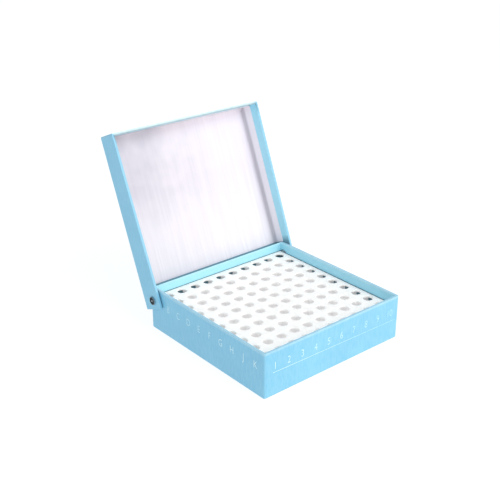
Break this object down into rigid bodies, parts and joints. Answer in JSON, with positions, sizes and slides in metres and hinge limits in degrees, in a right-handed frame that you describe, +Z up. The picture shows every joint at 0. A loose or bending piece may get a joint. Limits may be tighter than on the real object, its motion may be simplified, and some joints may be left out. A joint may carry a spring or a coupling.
{
  "type": "cryogenic storage box",
  "caption": "Flat square storage box of wrapped board with a riveted flip-top lid and a perforated plate over a grid of dividers that holds small tubes upright.",
  "frame": {"origin": "centre of the underside, on the surface that the box stands on", "axes": "+Z up; +Y towards the hinge at the back, so the printed front faces -Y; +X to the right as seen from the front"},
  "size_m": [0.1378, 0.1833, 0.1449],
  "materials": {
    "grey_board": "matte",
    "blue_laminate": "satin",
    "white_liner": "matte",
    "white_plate": "matte",
    "white_card": "matte",
    "paper_tape": "matte",
    "nickel": "satin"
  },
  "bodies": {
    "base": {"base_board": "grey_board", "base_corner_stays": "paper_tape", "base_wrap": "blue_laminate", "base_bottom_sheet": "blue_laminate", "base_floor_liner": "white_liner", "insert_plate": "white_plate", "row_divider_1": "white_card", "row_divider_2": "white_card", "row_divider_3": "white_card", "row_divider_4": "white_card", "row_divider_5": "white_card", "row_divider_6": "white_card", "row_divider_7": "white_card", "row_divider_8": "white_card", "row_divider_9": "white_card", "column_divider_1": "white_card", "column_divider_2": "white_card", "column_divider_3": "white_card", "column_divider_4": "white_card", "column_divider_5": "white_card", "column_divider_6": "white_card", "column_divider_7": "white_card", "column_divider_8": "white_card", "column_divider_9": "white_card", "left_rivet": "nickel", "right_rivet": "nickel", "left_washer": "nickel", "right_washer": "nickel", "left_spacer": "nickel", "right_spacer": "nickel"},
    "lid": {"lid_board": "grey_board", "lid_corner_stays": "paper_tape", "lid_wrap": "blue_laminate", "lid_liner": "white_liner"}
  },
  "joints": [
    {"name": "lid_hinge", "type": "hinge", "parent": "base", "child": "lid", "pos_m": [0, 0.0588, 0.0253], "axis": [1, 0, 0], "range_deg": [0, 112.6]}
  ]
}
